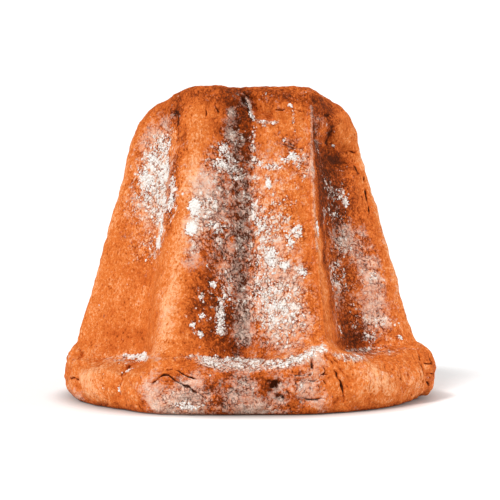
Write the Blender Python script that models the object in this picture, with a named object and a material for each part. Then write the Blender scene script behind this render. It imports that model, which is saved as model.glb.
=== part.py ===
"""Pandoro: an eight-pointed sweet yeast cake, standing on its wide end as it is served.

The cake was baked mouth up in a tapered star mould and turned out on to its mouth. Dough that rose
over the mould's edge baked into the thick lip round the foot, with a ledge between it and the walls.

Metres, +Z up, origin on the table at the middle of the cake's box. A turn is the angle about the
axis in degrees, 0 at the front (-Y) and positive towards +X. The tables are in millimetres.
"""

import math
from collections import namedtuple

import bmesh
import bpy
import numpy as np
from mathutils import Vector, noise

MM = 0.001

# Driving dimensions.
HEIGHT = 188 * MM  # table to the flat of the crown
CROWN_DOME = 1.6 * MM  # the crown's middle stands this much above its edge
LIP_WIDEST = 15 * MM  # height at which the lip is widest
VALLEY_LIP_SQUARE = 2.5  # superellipse power of the lip's upper half in the valleys, a sloping ledge
RIDGE_LIP_SQUARE = 2.2  # the same under the ridges, where the lip is rounder
LOWER_LIP_SQUARE = 2.6
CROWN_ROUND = 0.45  # how far the star's outline has given way to a round one on the crown
FACE_PUFF = 0.9 * MM  # how far the middle of each face of the star bulges
WALL_CREASE = 1.8  # the crease's rounding reaches this many times further up the wall than over the lip
BROW_TALL = 34 * MM  # how far below the crown the valleys begin to fill
TURN_EASE = 3  # power with which the ridges drift sideways on the way up

# Rings of the surface, from the table up.
BASE_SHARES = (0.45, 0.8)
LOWER_LIP_RINGS = 6
UPPER_LIP_RINGS = 7
CREASE_RINGS = 5
WALL_RINGS = 25
SHOULDER_RINGS = 8
CROWN_SHARES = (0.78, 0.54, 0.28)
FACE_STEPS = 2  # points inside each face of the star, besides three on each rounded corner
FRONT_STEPS = 6  # the same on the faces that have the most relief
FRONT_TURN = 70

# One row for each point of the star and for each valley between two points.
#   turn      at the mould's mouth, and top_turn at the crown
#   foot      radius where the wall leaves the lip
#   crown     radius at which the wall's line would meet the crown
#   brow      how far that is filled out just under the crown
#   lip       outermost radius of the lip, and rise the height of its crease with the wall
#   crease    how far over the lip that crease is rounded
#   corner    how far from the edge the star is rounded
#   shoulder  how far from the crown's edge the profile is rounded
#   undercut  how far the flat of the base lies inside the lip
#   bow       how far round the corner stands out of that line half way up
Corner = namedtuple(
    "Corner",
    "turn top_turn foot crown brow lip rise crease corner shoulder undercut bow",
    defaults=(0,),
)

RIDGES = (
    Corner(-22.5, -27.5, 112, 71, 0, 121, 32.5, 7, 9.0, 11, 9),
    Corner(22.9, 34.2, 112, 70.5, 0, 120, 38.0, 4, 2.4, 11, 8, 1.3),
    Corner(68.0, 67.0, 115.5, 72.5, 0, 124, 35.5, 3, 6.0, 27, 20),
    Corner(113.0, 112.0, 111, 70, 0, 120, 33.5, 4, 5.0, 18, 13),
    Corner(157.0, 156.0, 113, 71, 0, 122, 32.0, 6, 4.0, 15, 12),
    Corner(-158.0, -157.0, 112, 72, 0, 119, 35.0, 5, 6.0, 17, 14),
    Corner(-112.5, -112.0, 111, 70, 0, 120, 33.0, 4, 5.0, 20, 12),
    Corner(-68.0, -67.5, 114.0, 70.0, 0, 116.0, 32.5, 1.5, 7.0, 29, 9),
)
VALLEYS = (
    Corner(-0.5, 0.5, 86, 50, 13, 115, 27.2, 2, 5.0, 13, 8),
    Corner(45.5, 50.0, 87, 61, 9, 118.5, 29.4, 2, 7.0, 16, 6),
    Corner(90.5, 89.5, 87, 56, 6, 117, 28.5, 2, 6.0, 17, 15),
    Corner(135.0, 134.0, 86, 55, 5, 114, 26.0, 3, 7.0, 15, 10),
    Corner(179.5, 179.5, 87, 56, 6, 116, 27.5, 2, 6.0, 15, 11),
    Corner(-135.0, -134.5, 86, 55, 7, 114, 25.5, 3, 7.0, 16, 11),
    Corner(-90.0, -89.5, 88, 57, 6, 112.5, 27.0, 2, 6.0, 18, 8),
    Corner(-45.0, -48.0, 88, 60, 7, 116.5, 26.4, 2, 7.0, 16, 8),
)

# Swellings and hollows of the crust: where, half sizes round the girth and up the wall, how far the
# surface stands out, and how abruptly it stops (2 fades away, and a greater even power has an edge).
Swell = namedtuple("Swell", "turn height girth tall raised edge", defaults=(2,))

SWELLS = (
    # the front left of the lip, folded over below the ridge
    Swell(-20, 16, 15, 9, 3.6),
    Swell(-11, 31, 6, 4, 1.8),
    Swell(-35, 17, 4.5, 16, -4.0),
    Swell(-32, 27, 5.0, 7, -2.4),
    Swell(-46, 14, 16, 10, 1.6),
    Swell(-63, 21, 5.0, 8, -2.0),
    # the front of the lip, with a torn hollow and a slack fold below the right-hand ridge
    Swell(-3, 19, 12, 6, -1.2),
    Swell(7.5, 11, 5.0, 7, -4.0),
    Swell(13.5, 20, 7, 6, 2.4),
    Swell(18.0, 26, 4.0, 6, 1.8),
    Swell(17.6, 13, 3.0, 8, -1.6),
    # the seam between the two, which leans to the right on its way down
    Swell(21.6, 28, 2.6, 6, -2.4),
    Swell(23.2, 19, 3.0, 7, -3.4),
    Swell(25.0, 9, 3.6, 8, -3.6),
    # the rolled end of the lip on the right
    Swell(37, 17, 15, 10, 2.4),
    Swell(57, 20, 15, 10, 2.4),
    Swell(60, 14, 3.2, 15, -2.6),
    Swell(67, 19, 8, 11, 1.6),
    Swell(80, 18, 9, 11, 2.4),
    # the crown's skin overhanging the middle valley
    Swell(12, 174, 9.5, 9, 2.6, 6),
    Swell(-2, 167, 5, 12, -2.2),
    Swell(-14, 172, 10, 12, 0.9),
    # the right-hand valley, filled under the crown and pinched below that
    Swell(50, 168, 12, 9, 2.6),
    Swell(46, 150, 13, 5.5, -3.6),
    Swell(58, 147, 4.5, 4.5, -2.4),
    Swell(47, 126, 14, 13, 1.8),
    Swell(30, 179, 3, 4, -1.4),
    # the left-hand valley under the crown, and the slack wall below it
    Swell(-44, 161, 6.5, 8, -2.4),
    Swell(-33, 156, 4, 9, -2.2),
    Swell(-40, 168, 4.5, 5, 1.6),
    Swell(-38, 178, 3, 5, -1.0),
    Swell(-52, 120, 20, 26, 1.2),
    Swell(-50, 70, 22, 22, -1.0),
    # walls that the front shows broadly
    Swell(-11, 120, 9, 30, 0.8),
    Swell(11, 95, 9, 34, 1.0),
    Swell(12, 150, 8, 10, 1.1),
    Swell(34, 80, 10, 28, -0.9),
)

# The lip's folds round the rest of the cake follow a rule: one near each point of the star.
FOLD_TURNS = (88, 104, 122, 148, 171, 190, 214, 238, 259, 283, 304)
FOLD_RAISED = (-3.0, 2.2, -2.4, 2.4)
FOLD_GIRTH = (6, 13, 5.5, 15)
FOLD_HEIGHT = 18
FOLD_TALL = 13

# Unevenness everywhere: how far the crust wanders, and over what length.
WANDER = ((1.1 * MM, 34 * MM), (0.55 * MM, 13 * MM))
WANDER_SHIFT = 7.3
FLAT_MARGIN = 1.0 * MM  # relief fades out this close to the table, so that the base stays flat

CRUST_COLOUR = (0.56, 0.20, 0.065, 1.0)
CRUST_ROUGHNESS = 0.78


def on_table(turn, radius, height):
    """A point at a turn in degrees and a radius and height in metres."""
    angle = math.radians(turn)
    return np.array((radius * math.sin(angle), -radius * math.cos(angle), height))


def quarter(power, share):
    """(across, along) of a superellipse's quarter, from (1, 0) to (0, 1)."""
    angle = math.pi / 2 * share
    return math.cos(angle) ** (2 / power), math.sin(angle) ** (2 / power)


def bezier(first, middle, last, t):
    """A point of the curve that rounds the corner at middle."""
    return (1 - t) ** 2 * first + 2 * t * (1 - t) * middle + t**2 * last


def smooth(share):
    """Eased from 0 to 1."""
    share = min(max(share, 0.0), 1.0)
    return share * share * (3 - 2 * share)


def lip_profile(corner, power):
    """(radius, height, roundness) of the base, the lip and its crease, and how far up that ends.

    The plan of the base and the lip is round, and over the lip it turns into the star.
    """
    lip, foot, rise = corner.lip * MM, corner.foot * MM, corner.rise * MM
    base = lip - corner.undercut * MM
    rings = [(base * share, 0.0, 1.0) for share in BASE_SHARES]
    for k in range(LOWER_LIP_RINGS):
        out, up = quarter(LOWER_LIP_SQUARE, 1 - k / LOWER_LIP_RINGS)
        rings.append((base + (lip - base) * out, LIP_WIDEST * (1 - up), 1.0))
    over_lip = corner.crease * MM
    kept = math.acos((over_lip / (lip - foot)) ** (power / 2)) / (math.pi / 2)
    for k in range(UPPER_LIP_RINGS + 1):
        out, up = quarter(power, kept * k / UPPER_LIP_RINGS)
        rings.append((foot + (lip - foot) * out, LIP_WIDEST + (rise - LIP_WIDEST) * up, smooth(out)))
    wall = np.array(((corner.crown - corner.foot) * MM, HEIGHT - rise))
    up_wall = over_lip * WALL_CREASE / np.linalg.norm(wall)
    *first, roundness = rings.pop()
    middle = np.array((foot, rise))
    for k in range(CREASE_RINGS):
        t = k / CREASE_RINGS
        turned = bezier(np.array(first), middle, middle + wall * up_wall, t)
        rings.append((*turned, roundness * (1 - t)))
    return rings, up_wall


def corner_profile(corner, is_ridge):
    """(radius, height, roundness, share of the way up the wall) for each ring, at one corner."""
    power = RIDGE_LIP_SQUARE if is_ridge else VALLEY_LIP_SQUARE
    lip_rings, up_wall = lip_profile(corner, power)
    rings = [(*ring, 0.0) for ring in lip_rings]
    crown, rise = corner.crown * MM, corner.rise * MM
    foot = np.array((corner.foot * MM, rise))
    wall = np.array((crown, HEIGHT)) - foot
    shoulder = corner.shoulder * MM
    straight = 1 - shoulder / np.linalg.norm(wall)
    for k in range(WALL_RINGS):
        share = up_wall + (straight - up_wall) * k / WALL_RINGS
        rings.append((*(foot + wall * share), 0.0, share))
    inside = np.array((crown - shoulder, HEIGHT))
    for k in range(SHOULDER_RINGS):
        t = k / (SHOULDER_RINGS - 1)
        turned = bezier(foot + wall * straight, foot + wall, inside, t)
        rings.append((*turned, CROWN_ROUND * smooth(t), 1.0))
    for share in CROWN_SHARES:
        rings.append((inside[0] * share, HEIGHT + CROWN_DOME * (1 - share**2), CROWN_ROUND, 1.0))
    filled = []
    for radius, height, roundness, climbed in rings:
        brow = corner.brow / corner.crown * smooth(1 - (HEIGHT - height) / BROW_TALL)
        filled.append((radius * (1 + brow), height, roundness, climbed))
    return filled


def star_corners():
    """The 16 corners from the back round to the back again, as (corner, is_ridge)."""
    corners = [(ridge, True) for ridge in RIDGES] + [(valley, False) for valley in VALLEYS]
    return sorted(corners, key=lambda pair: pair[0].turn)


def star_ring(points, reaches, front):
    """The closed outline through the corner points, each corner rounded from its reach away."""
    count = len(points)
    arcs = []
    for k, here in enumerate(points):
        to_last = points[k - 1] - here
        to_next = points[(k + 1) % count] - here
        before = here + to_last * min(0.4, reaches[k] / np.linalg.norm(to_last))
        after = here + to_next * min(0.4, reaches[k] / np.linalg.norm(to_next))
        arcs.append((before, bezier(before, here, after, 0.5), after))
    ring = []
    for k, arc in enumerate(arcs):
        start, end = arc[2], arcs[(k + 1) % count][0]
        ring.extend(arc)
        outward = (start + end) * (1, 1, 0)
        outward = outward / max(np.linalg.norm(outward), 1e-9)
        steps = FRONT_STEPS if front[k] else FACE_STEPS
        for step in range(1, steps + 1):
            share = step / (steps + 1)
            puff = outward * FACE_PUFF * 4 * share * (1 - share)
            ring.append(start + (end - start) * share + puff)
    return ring


def rounded(point, turns, profiles):
    """A point of the star's outline, moved as far as its roundness says to a smooth round one."""
    turn = math.degrees(math.atan2(point[0], -point[1]))
    k = max((k for k in range(len(turns)) if turns[k] <= turn), default=-1)
    after = (k + 1) % len(turns)
    share = smooth(((turn - turns[k]) % 360) / ((turns[after] - turns[k]) % 360))
    here = np.array(profiles[k]) * (1 - share) + np.array(profiles[after]) * share
    radius, height, roundness, _ = here
    return point * (1 - roundness) + on_table(turn, radius, height) * roundness


def cake_surface():
    """Points of the even cake, as an array of rings by columns by xyz."""
    corners = star_corners()
    front = [abs(corner.turn + 11) < FRONT_TURN for corner, _ in corners]
    reaches = [corner.corner * MM for corner, _ in corners]
    surface = []
    for profiles in zip(*(corner_profile(corner, is_ridge) for corner, is_ridge in corners)):
        turns = []
        for (corner, _), (_, _, _, climbed) in zip(corners, profiles):
            drift = (corner.top_turn - corner.turn) * climbed**TURN_EASE
            turns.append(corner.turn + drift + corner.bow * 4 * climbed * (1 - climbed))
        points = [on_table(turn, *profile[:2]) for turn, profile in zip(turns, profiles)]
        ring = star_ring(points, reaches, front)
        surface.append([rounded(point, turns, profiles) for point in ring])
    return np.array(surface)


def normals_of(surface):
    """Outward normals of a surface whose columns close on themselves."""
    along = np.roll(surface, -1, axis=1) - np.roll(surface, 1, axis=1)
    up = np.gradient(surface, axis=0)
    normal = np.cross(along, up)
    return normal / np.maximum(np.linalg.norm(normal, axis=2, keepdims=True), 1e-12)


def all_swells():
    """The listed swellings, with the folds that follow the rule round the sides and back."""
    folds = [
        Swell(
            turn,
            FOLD_HEIGHT,
            FOLD_GIRTH[k % len(FOLD_GIRTH)],
            FOLD_TALL,
            FOLD_RAISED[k % len(FOLD_RAISED)],
        )
        for k, turn in enumerate(FOLD_TURNS)
    ]
    return SWELLS + tuple(folds)


def relief_of(surface):
    """How far each point stands out from the even cake, along its normal."""
    x, y, z = surface[..., 0], surface[..., 1], surface[..., 2]
    radius = np.hypot(x, y)
    turn = np.degrees(np.arctan2(x, -y))
    relief = np.zeros_like(z)
    for swell in all_swells():
        apart = np.radians((turn - swell.turn + 180) % 360 - 180) * radius / (swell.girth * MM)
        above = (z - swell.height * MM) / (swell.tall * MM)
        relief += swell.raised * MM * np.exp(-(apart**swell.edge) - above**swell.edge)
    for reach, length in WANDER:
        for place in np.ndindex(z.shape):
            spot = Vector(surface[place]) / length + Vector((WANDER_SHIFT, 0, 0))
            relief[place] += reach * noise.noise(spot)
    return relief * np.clip(z / FLAT_MARGIN, 0, 1)


def shaped_surface():
    """The cake's surface with its relief, standing at z = 0 with its box centred on the axis."""
    surface = cake_surface()
    surface = surface + normals_of(surface) * relief_of(surface)[..., None]
    surface[..., 2] = np.maximum(surface[..., 2], 0)
    flat = surface.reshape(-1, 3)
    middle = (flat.min(axis=0) + flat.max(axis=0)) / 2
    surface[..., :2] -= middle[:2]
    return surface


def crust_material():
    material = bpy.data.materials.new("golden_crust")
    material.use_nodes = True
    shader = material.node_tree.nodes["Principled BSDF"]
    shader.inputs["Base Color"].default_value = CRUST_COLOUR
    shader.inputs["Roughness"].default_value = CRUST_ROUGHNESS
    shader.inputs["Metallic"].default_value = 0.0
    return material


def build_pandoro():
    """One closed solid: rings of the surface joined by faces, with a fan on the base and the crown."""
    surface = shaped_surface()
    mesh = bmesh.new()
    rings = [[mesh.verts.new(point) for point in ring] for ring in surface]
    columns = len(rings[0])
    for lower, upper in zip(rings, rings[1:]):
        for k in range(columns):
            after = (k + 1) % columns
            mesh.faces.new((lower[k], lower[after], upper[after], upper[k]))
    base_middle = mesh.verts.new((0, 0, 0))
    crown_middle = mesh.verts.new(surface[-1].mean(axis=0))
    for k in range(columns):
        after = (k + 1) % columns
        mesh.faces.new((rings[0][after], rings[0][k], base_middle))
        mesh.faces.new((rings[-1][k], rings[-1][after], crown_middle))
    bmesh.ops.triangulate(mesh, faces=mesh.faces[:], quad_method="SHORT_EDGE")
    bmesh.ops.recalc_face_normals(mesh, faces=mesh.faces[:])
    data = bpy.data.meshes.new("pandoro")
    mesh.to_mesh(data)
    mesh.free()
    data.materials.append(crust_material())
    data.shade_smooth()
    pandoro = bpy.data.objects.new("pandoro", data)
    bpy.context.scene.collection.objects.link(pandoro)
    return pandoro


def main():
    for old in list(bpy.data.objects):
        bpy.data.objects.remove(old)
    build_pandoro()


main()
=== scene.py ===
"""A pandoro with icing sugar on its crust, on a white table in soft light.

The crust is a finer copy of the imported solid: smoothed, creased, torn and pitted as a baked skin is.
The sugar is partly in the crust's material and partly small lumps lying on it.

Lengths in the tables are millimetres. A turn is the angle about the cake's axis in degrees, 0 at the
front (-Y) and positive towards +X. A way is a row of places (turn, height).
"""

import copy
import math
import random
from collections import namedtuple

import bpy
import numpy as np
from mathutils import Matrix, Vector, noise


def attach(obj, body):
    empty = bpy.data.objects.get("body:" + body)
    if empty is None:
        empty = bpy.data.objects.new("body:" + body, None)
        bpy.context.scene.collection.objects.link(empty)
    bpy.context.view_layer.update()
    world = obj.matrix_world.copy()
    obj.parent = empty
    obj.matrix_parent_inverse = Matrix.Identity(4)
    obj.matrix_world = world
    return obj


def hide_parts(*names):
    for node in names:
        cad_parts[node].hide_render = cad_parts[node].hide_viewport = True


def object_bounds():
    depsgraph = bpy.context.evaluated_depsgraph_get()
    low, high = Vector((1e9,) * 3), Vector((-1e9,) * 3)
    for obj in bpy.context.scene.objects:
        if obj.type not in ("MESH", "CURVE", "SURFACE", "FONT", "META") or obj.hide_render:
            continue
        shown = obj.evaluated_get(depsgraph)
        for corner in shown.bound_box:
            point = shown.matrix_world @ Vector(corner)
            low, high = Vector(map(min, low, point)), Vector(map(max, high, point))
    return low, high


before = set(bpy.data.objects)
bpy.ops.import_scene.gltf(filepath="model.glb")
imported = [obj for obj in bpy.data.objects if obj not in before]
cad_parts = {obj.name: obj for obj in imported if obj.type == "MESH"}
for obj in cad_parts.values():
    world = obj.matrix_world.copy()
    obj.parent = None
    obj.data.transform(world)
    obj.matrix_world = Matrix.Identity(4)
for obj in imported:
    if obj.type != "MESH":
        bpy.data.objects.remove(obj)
cad_low, cad_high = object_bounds()

MM = 0.001
FRONT = 66  # turns within this of the front show most, and get the finest mesh
WALL_RADIUS = 100  # about how far the walls stand from the axis, to set turns against heights


# ------------------------ shader arithmetic


class Wire:
    """One output of a node; arithmetic on it adds Math nodes to its material."""

    def __init__(self, shader, socket):
        self.shader = shader
        self.socket = socket

    def _math(self, operation, *values):
        return self.shader.node("Math", {"operation": operation}, dict(enumerate(values)))[0]

    def __add__(self, other):
        return self._math("ADD", self, other)

    def __radd__(self, other):
        return self._math("ADD", other, self)

    def __sub__(self, other):
        return self._math("SUBTRACT", self, other)

    def __rsub__(self, other):
        return self._math("SUBTRACT", other, self)

    def __mul__(self, other):
        return self._math("MULTIPLY", self, other)

    def __rmul__(self, other):
        return self._math("MULTIPLY", other, self)

    def __abs__(self):
        return self._math("ABSOLUTE", self)

    def ramp(self, low, high, path="LINEAR"):
        """Straight from 0 at low to 1 at high."""
        sockets = {"Value": self, "From Min": low, "From Max": high}
        return self.shader.node("MapRange", {"interpolation_type": path}, sockets)[0]

    def step(self, low, high):
        """Eased from 0 at low to 1 at high."""
        return self.ramp(low, high, "SMOOTHSTEP")


class Shader:
    """A new material and its Principled shader."""

    def __init__(self, name, **constants):
        self.material = bpy.data.materials.new(name)
        self.material.use_nodes = True
        self.tree = self.material.node_tree
        self.surface = self.tree.nodes["Principled BSDF"]
        for socket, value in constants.items():
            self.surface.inputs[socket.replace("_", " ")].default_value = value
        self.place = self.node("TexCoord")["Object"]

    def _set(self, socket, value):
        if isinstance(value, Wire):
            self.tree.links.new(value.socket, socket)
        else:
            socket.default_value = value

    def node(self, kind, settings=None, sockets=None):
        """A node of this kind, its outputs as wires by name and by number."""
        made = self.tree.nodes.new("ShaderNode" + kind)
        for setting, value in (settings or {}).items():
            setattr(made, setting, value)
        for socket, value in (sockets or {}).items():
            self._set(made.inputs[socket], value)
        outputs = {output.name: Wire(self, output) for output in made.outputs if output.enabled}
        outputs.update(enumerate(list(outputs.values())))
        return outputs

    def stretched(self, along):
        """Places for a pattern drawn out by this much up the wall."""
        values = {0: self.place, 1: (1.0, 1.0, 1 / along)}
        return self.node("VectorMath", {"operation": "MULTIPLY"}, values)[0]

    def wavering(self, size, reach):
        """Places shifted to and fro by reach millimetres, over lengths of about size."""
        sockets = {"Vector": self.place, "Scale": 1 / (size * MM), "Detail": 2.0}
        drift = self.node("TexNoise", {}, sockets)["Color"]
        centred = self.node("VectorMath", {"operation": "SUBTRACT"}, {0: drift, 1: (0.5, 0.5, 0.5)})[0]
        scaled = {0: centred, 1: (reach * MM,) * 3, 2: self.place}
        return self.node("VectorMath", {"operation": "MULTIPLY_ADD"}, scaled)[0]

    def noise(self, size, detail=2.0, roughness=0.5, place=None):
        """Noise from 0 to 1 whose lumps are about size millimetres."""
        sockets = {"Vector": place or self.place, "Scale": 1 / (size * MM)}
        sockets.update({"Detail": detail, "Roughness": roughness})
        return self.node("TexNoise", {}, sockets)[0]

    def sway(self, size, detail=2.0, roughness=0.5, place=None):
        """The same noise spread out to about -1..1, and 0 on average."""
        return (self.noise(size, detail, roughness, place) - 0.5) * 4

    def curls(self, size, width, place=None):
        """Thin lines that wander in loops of about size millimetres: 1 on a line."""
        return 1 - abs(self.sway(size, detail=1, place=place)).step(0.0, width)

    def cells(self, size, place=None):
        """Distance from the middle of Voronoi cells of about size millimetres, in cells."""
        sockets = {"Vector": place or self.place, "Scale": 1 / (size * MM)}
        return self.node("TexVoronoi", {}, sockets)["Distance"]

    def attribute(self, name):
        """A number stored on the piece's points."""
        return self.node("Attribute", {"attribute_name": name})["Fac"]

    def mix(self, factor, first, second):
        """Two colours mixed."""
        made = self.tree.nodes.new("ShaderNodeMix")
        made.data_type = "RGBA"
        self._set(made.inputs["Factor"], factor)
        colours = [socket for socket in made.inputs if socket.type == "RGBA"]
        for socket, value in zip(colours, (first, second)):
            self._set(socket, value if isinstance(value, Wire) else (*value, 1.0))
        result = [socket for socket in made.outputs if socket.type == "RGBA"][0]
        return Wire(self, result)

    def bump(self, height):
        """Bump from a height in millimetres."""
        return self.node("Bump", {}, {"Height": height, "Distance": MM, "Strength": 1.0})[0]

    def finish(self, **wires):
        """The material, once these sockets of its surface are wired."""
        for socket, value in wires.items():
            self._set(self.surface.inputs[socket.replace("_", " ")], value)
        return self.material


# ------------------------ where things are on the cake


class Skin:
    """The points of a crust mesh as arrays, in the cake's own terms."""

    def __init__(self, mesh):
        count = len(mesh.vertices)
        flat = np.empty(count * 3)
        mesh.vertices.foreach_get("co", flat)
        self.points = flat.reshape(-1, 3).copy()
        mesh.vertices.foreach_get("normal", flat)
        self.normals = flat.reshape(-1, 3).copy()
        x, y, self.z = self.points.T
        self.radius = np.maximum(np.hypot(x, y), MM)
        self.turn = np.degrees(np.arctan2(x, -y))
        self.upward = 0.0  # how much more each point faces up than the smooth skin did

    def lumps(self, size, seed):
        """Noise in -1..1 with lumps of size millimetres."""
        shift = Vector((seed, seed * 0.7, -seed))
        scale = 1 / (size * MM)
        return np.array([noise.noise(Vector(p) * scale + shift) for p in self.points])

    def wandering(self, size, reach, seed):
        """The same skin, on which measured places drift to and fro, so that a way looks torn."""
        drifting = copy.copy(self)
        drifting.turn = self.turn + np.degrees(self.lumps(size, seed) * reach * MM / self.radius)
        drifting.z = self.z + self.lumps(size, seed + 5) * reach * MM
        return drifting

    def around(self, turn):
        """Arc length in metres from a turn."""
        return np.radians((self.turn - turn + 180) % 360 - 180) * self.radius

    def patch(self, turn, height, girth, tall, edge=2):
        """1 in the middle of a patch, falling to 0 outside its half sizes."""
        apart = np.abs(self.around(turn) / (girth * MM))
        above = np.abs((self.z - height * MM) / (tall * MM))
        return np.exp(-(apart**edge) - above**edge)

    def beside(self, way):
        """For each point: its distance from a way in millimetres, above 0 on the right of somebody who
        goes along it and looks at the cake, and the share of the way passed there."""
        best = np.full(len(self.z), np.inf)
        side = np.ones(len(self.z))
        passed = np.zeros(len(self.z))
        done, legs = 0.0, []
        for (turn_a, height_a), (turn_b, height_b) in zip(way, way[1:]):
            start = np.stack((-self.around(turn_a), height_a * MM - self.z), axis=1)
            end = np.stack((-self.around(turn_b), height_b * MM - self.z), axis=1)
            leg = end - start
            share = np.clip(-(start * leg).sum(axis=1) / np.maximum((leg * leg).sum(axis=1), 1e-12), 0, 1)
            near = start + leg * share[:, None]
            apart = np.hypot(near[:, 0], near[:, 1])
            nearer = apart < best
            best = np.where(nearer, apart, best)
            turned = leg[:, 0] * -start[:, 1] - leg[:, 1] * -start[:, 0]
            side = np.where(nearer, -np.sign(turned), side)
            length = math.hypot(math.radians(turn_b - turn_a) * WALL_RADIUS, height_b - height_a)
            passed = np.where(nearer, done + share * length, passed)
            done += length
            legs.append(length)
        return best * side / MM, passed / sum(legs)


def eased(value, low, high):
    """From 0 at low to 1 at high, slow at both ends."""
    share = np.clip((value - low) / (high - low), 0, 1)
    return share * share * (3 - 2 * share)


def unseen(skin):
    """0 over the front of the cake, 1 round its far sides and back."""
    return eased(np.abs(skin.turn), FRONT, FRONT + 16)


# ------------------------ folds, tears and hollows

# A fold is an edge beyond which the skin lies lower. Its way runs so that the low side is on the right.
#   lift and width  how far the edge stands up, and how far back from it that reaches
#   drop and step   how far down the low side is, and how soon it gets there
#   reach           how far on the low side lasts
#   ends            shares of the way over which the fold begins and ends
Fold = namedtuple("Fold", "lift width drop step reach ends way")

RIDGE_WAY = (
    (30.6, 184), (30.1, 178), (28.6, 168.5), (27.2, 157), (25.9, 146), (24.8, 134), (23.9, 122),
    (23.2, 107), (22.6, 92), (22.2, 77), (22, 58), (22, 40),
)
FLAP_WAY = (
    (14, 164.3), (11, 164.6), (7.2, 164.9), (4.4, 166.4), (2.5, 169.3), (1.7, 172.2), (0.9, 175.4),
    (-0.9, 178.2), (-2.8, 181), (-3.6, 183),
)
PINCH_WAY = ((63, 139.5), (59.6, 144.5), (57, 149.5), (52, 152.6), (44, 153.8), (36, 153), (30.4, 152))
BULGE_WAY = ((-42, 174.2), (-36.5, 171.8), (-34.8, 168), (-35.4, 164), (-40, 160))
SLIT_WAY = ((-57.5, 27), (-59.3, 24.6), (-62.5, 24.4), (-64, 29), (-66, 33))
FLAKE_WAYS = (
    ((-13.5, 22.5), (-15.5, 25), (-18.5, 26.0), (-22, 24.6)),
    ((-14.2, 25), (-17.3, 29.0), (-20.0, 30.6)),
)
KNOB_WAY = ((17.4, 32), (16.6, 27), (15.8, 22.6), (13.6, 21.2), (11.5, 22.5))
FOLDS = (
    # the crisp edge of the ridge right of the middle, dark beyond it
    Fold(0.7, 2.2, 1.4, 1.0, 7, (0.03, 0.10), RIDGE_WAY),
    # the crown's loose skin hanging over the top of the middle valley
    Fold(1.6, 3.6, 4.2, 0.8, 5.0, (0.12, 0.12), FLAP_WAY),
    # the bulge over the pinch in the right-hand valley
    Fold(0.6, 5.0, 1.8, 3.0, 8, (0.1, 0.12), PINCH_WAY),
    # the small round bulge at the top of the left-hand valley
    Fold(0.8, 3.0, 1.5, 0.9, 4, (0.15, 0.2), BULGE_WAY),
    # the upper lip of the slit along the ledge on the far left
    Fold(0.7, 2.5, 1.3, 0.8, 3, (0.2, 0.3), SLIT_WAY),
    # the flakes lifted over the folded front left of the lip
    Fold(0.9, 2.0, 1.2, 0.7, 2.5, (0.2, 0.3), FLAKE_WAYS[0]),
    Fold(0.7, 1.8, 1.0, 0.7, 2.2, (0.2, 0.3), FLAKE_WAYS[1]),
    # the knob under the ridge, standing over the torn front of the lip
    Fold(0.8, 2.4, 1.2, 0.8, 3.0, (0.2, 0.3), KNOB_WAY),
)

# The bottoms of the valleys, drawn in to a crease: depth, half width and way.
VALLEY_WAYS = (
    (2.6, 4.5, ((-2, 183), (0.5, 172), (1.6, 160), (2.2, 140), (1.4, 115), (0.2, 92), (-0.8, 65),
                (-0.8, 33))),
    (2.0, 4.5, ((40, 150), (37.0, 130), (38.0, 110), (38.0, 85), (38.5, 60), (38, 37))),
    (1.2, 4.5, ((-38, 160), (-39.5, 140), (-40, 100), (-41, 60), (-42, 32))),
)

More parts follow.
